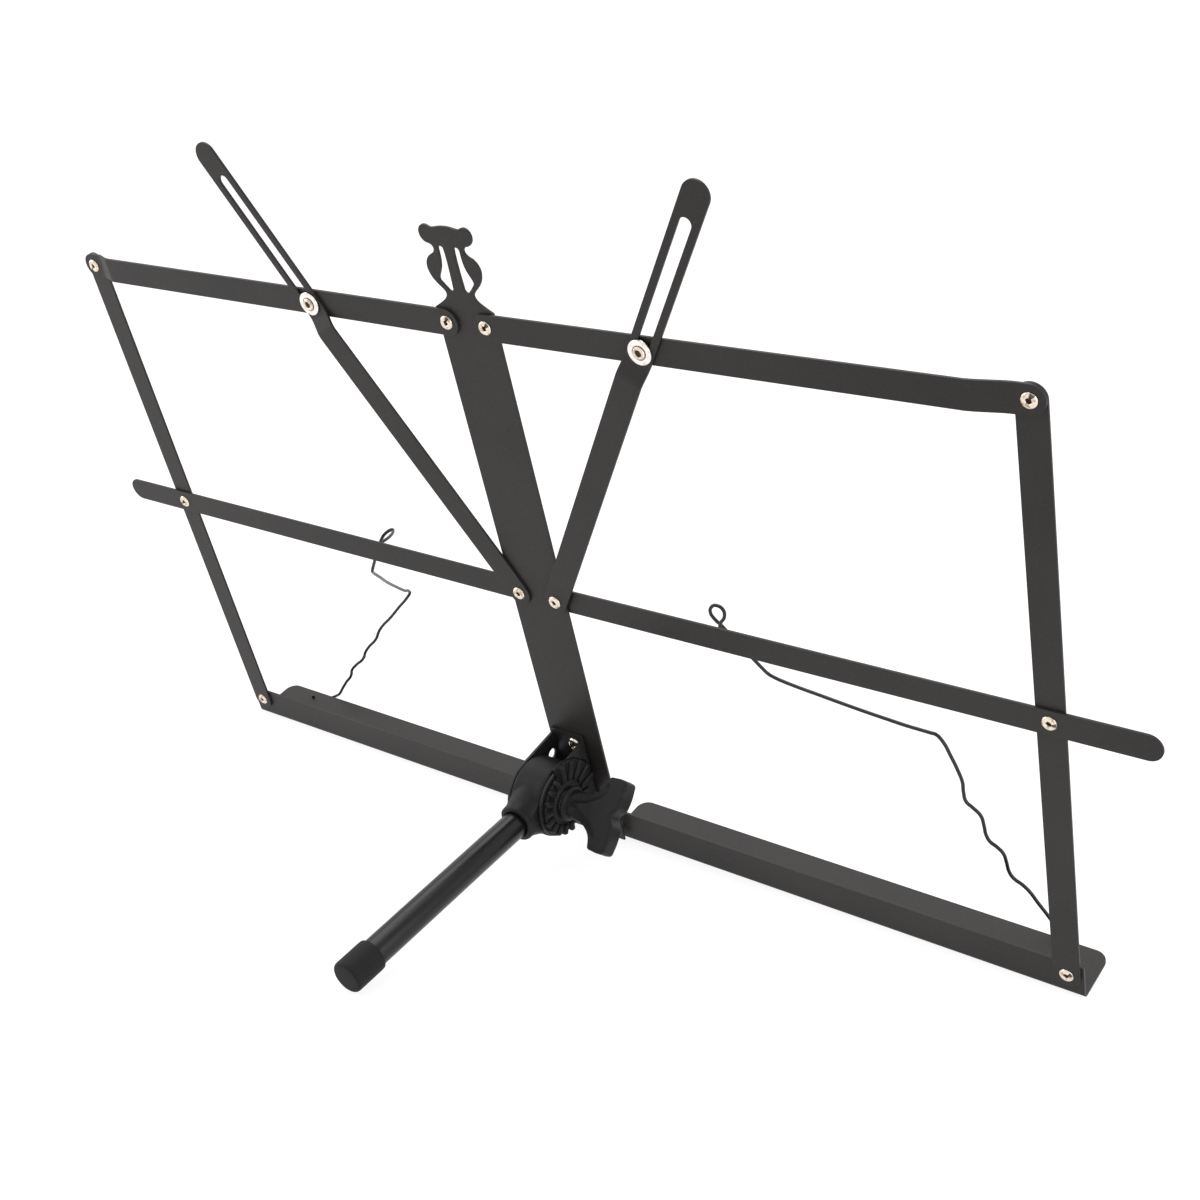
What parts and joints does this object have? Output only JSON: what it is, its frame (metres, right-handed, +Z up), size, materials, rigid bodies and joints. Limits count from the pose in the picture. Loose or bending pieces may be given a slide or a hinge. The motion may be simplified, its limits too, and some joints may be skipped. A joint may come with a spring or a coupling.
{
  "type": "desktop music stand",
  "caption": "Folding tabletop music stand: barred desk with lyre spine, slotted braces, fold-up page trays, wire page holders and a clamped swinging rear leg.",
  "frame": {"origin": "bottom centre of the part's box, on the surface it stands on", "axes": "+X to the right seen from the leg side, +Y toward the page side, +Z up; the desk leans back over the leg"},
  "size_m": [0.4794, 0.174, 0.2831],
  "materials": {
    "black_powder_coat": "satin black powder coat on sheet steel",
    "bracket_black": "satin black paint on bent steel",
    "black_plastic": "matte black moulded plastic",
    "gloss_black_tube": "gloss black enamel on steel tube",
    "black_rubber": "matte black rubber",
    "black_wire": "black coated spring wire",
    "nickel_rivet": "nickel plated tubular rivet",
    "bright_washer": "bright nickel plated washer",
    "zinc_steel": "zinc plated steel"
  },
  "bodies": {
    "spine": {"spine": "black_powder_coat", "hinge_bracket": "bracket_black", "bracket_rivet_upper": "nickel_rivet", "bracket_rivet_lower": "nickel_rivet", "clamp_cheek": "black_plastic", "clamp_bolt": "zinc_steel", "clamp_washer": "zinc_steel", "top_rivet_left": "nickel_rivet", "top_rivet_right": "nickel_rivet", "middle_rivet_left": "nickel_rivet", "middle_rivet_right": "nickel_rivet", "tray_rivet_left": "nickel_rivet", "tray_rivet_right": "nickel_rivet", "tray_bush_left": "zinc_steel", "tray_bush_right": "zinc_steel"},
    "tray_left": {"tray_left": "black_powder_coat"},
    "upper_bar_left": {"upper_bar_left": "black_powder_coat", "slide_pin_left": "nickel_rivet", "slide_washer_left": "bright_washer"},
    "middle_bar_left": {"middle_bar_left": "black_powder_coat"},
    "slotted_arm_left": {"slotted_arm_left": "black_powder_coat"},
    "side_bar_left": {"side_bar_left": "black_powder_coat", "corner_rivet_left": "nickel_rivet", "side_rivet_left": "nickel_rivet", "tray_end_rivet_left": "nickel_rivet"},
    "page_wire_left": {"page_wire_left": "black_wire"},
    "tray_right": {"tray_right": "black_powder_coat"},
    "upper_bar_right": {"upper_bar_right": "black_powder_coat", "slide_pin_right": "nickel_rivet", "slide_washer_right": "bright_washer"},
    "middle_bar_right": {"middle_bar_right": "black_powder_coat"},
    "slotted_arm_right": {"slotted_arm_right": "black_powder_coat"},
    "side_bar_right": {"side_bar_right": "black_powder_coat", "corner_rivet_right": "nickel_rivet", "side_rivet_right": "nickel_rivet", "tray_end_rivet_right": "nickel_rivet"},
    "page_wire_right": {"page_wire_right": "black_wire"},
    "leg": {"leg_socket": "black_plastic", "leg_tube": "gloss_black_tube", "rubber_foot": "black_rubber"},
    "knob": {"wing_knob": "black_plastic"}
  },
  "joints": [
    {"name": "fold_left", "type": "hinge", "parent": "spine", "child": "tray_left", "pos_m": [-0.0087, 0.05886, 0.00817], "axis": [0, 0.961, 0.2766], "range_deg": [0, 85]},
    {"name": "upper_turn_left", "type": "hinge", "parent": "spine", "child": "upper_bar_left", "pos_m": [-0.0087, -0.00714, 0.22591], "axis": [0, 0.961, 0.2766], "range_deg": [0, 85]},
    {"name": "middle_turn_left", "type": "hinge", "parent": "spine", "child": "middle_bar_left", "pos_m": [-0.0087, 0.02545, 0.11666], "axis": [0, 0.961, 0.2766], "range_deg": [0, 85]},
    {"name": "arm_turn_left", "type": "hinge", "parent": "spine", "child": "slotted_arm_left", "pos_m": [-0.0087, 0.02439, 0.11636], "axis": [0, 0.961, 0.2766], "range_deg": [0, 27.98]},
    {"name": "side_turn_left", "type": "hinge", "parent": "tray_left", "child": "side_bar_left", "pos_m": [-0.2037, 0.05849, 0.00927], "axis": [0, 0.961, 0.2766], "range_deg": [-85, 0]},
    {"name": "wire_swing_left", "type": "hinge", "parent": "tray_left", "child": "page_wire_left", "pos_m": [-0.1907, 0.07799, 0.00535], "axis": [0, -0.2766, 0.961], "range_deg": [0, 20]},
    {"name": "fold_right", "type": "hinge", "parent": "spine", "child": "tray_right", "pos_m": [0.0087, 0.05886, 0.00817], "axis": [0, -0.961, -0.2766], "range_deg": [0, 85]},
    {"name": "upper_turn_right", "type": "hinge", "parent": "spine", "child": "upper_bar_right", "pos_m": [0.0087, -0.00714, 0.22591], "axis": [0, -0.961, -0.2766], "range_deg": [0, 85]},
    {"name": "middle_turn_right", "type": "hinge", "parent": "spine", "child": "middle_bar_right", "pos_m": [0.0087, 0.02545, 0.11666], "axis": [0, -0.961, -0.2766], "range_deg": [0, 85]},
    {"name": "arm_turn_right", "type": "hinge", "parent": "spine", "child": "slotted_arm_right", "pos_m": [0.0087, 0.02439, 0.11636], "axis": [0, -0.961, -0.2766], "range_deg": [0, 27.98]},
    {"name": "side_turn_right", "type": "hinge", "parent": "tray_right", "child": "side_bar_right", "pos_m": [0.2037, 0.05849, 0.00927], "axis": [0, -0.961, -0.2766], "range_deg": [-85, 0]},
    {"name": "wire_swing_right", "type": "hinge", "parent": "tray_right", "child": "page_wire_right", "pos_m": [0.1907, 0.07799, 0.00535], "axis": [0, 0.2766, -0.961], "range_deg": [0, 20]},
    {"name": "leg_swing", "type": "hinge", "parent": "spine", "child": "leg", "pos_m": [0, 0.02862, 0.02954], "axis": [-1, 0, 0], "range_deg": [-45, 82]},
    {"name": "knob_turn", "type": "hinge", "parent": "spine", "child": "knob", "pos_m": [0, 0.02862, 0.02954], "axis": [1, 0, 0], "range_deg": [0, 360]}
  ],
  "couplings": [
    {"joint": "upper_turn_left", "follows": "fold_left", "ratio": 1},
    {"joint": "middle_turn_left", "follows": "fold_left", "ratio": 1},
    {"joint": "side_turn_left", "follows": "fold_left", "ratio": -1},
    {"joint": "arm_turn_left", "follows": "fold_left", "ratio": 0.329},
    {"joint": "upper_turn_right", "follows": "fold_right", "ratio": 1},
    {"joint": "middle_turn_right", "follows": "fold_right", "ratio": 1},
    {"joint": "side_turn_right", "follows": "fold_right", "ratio": -1},
    {"joint": "arm_turn_right", "follows": "fold_right", "ratio": 0.329}
  ]
}
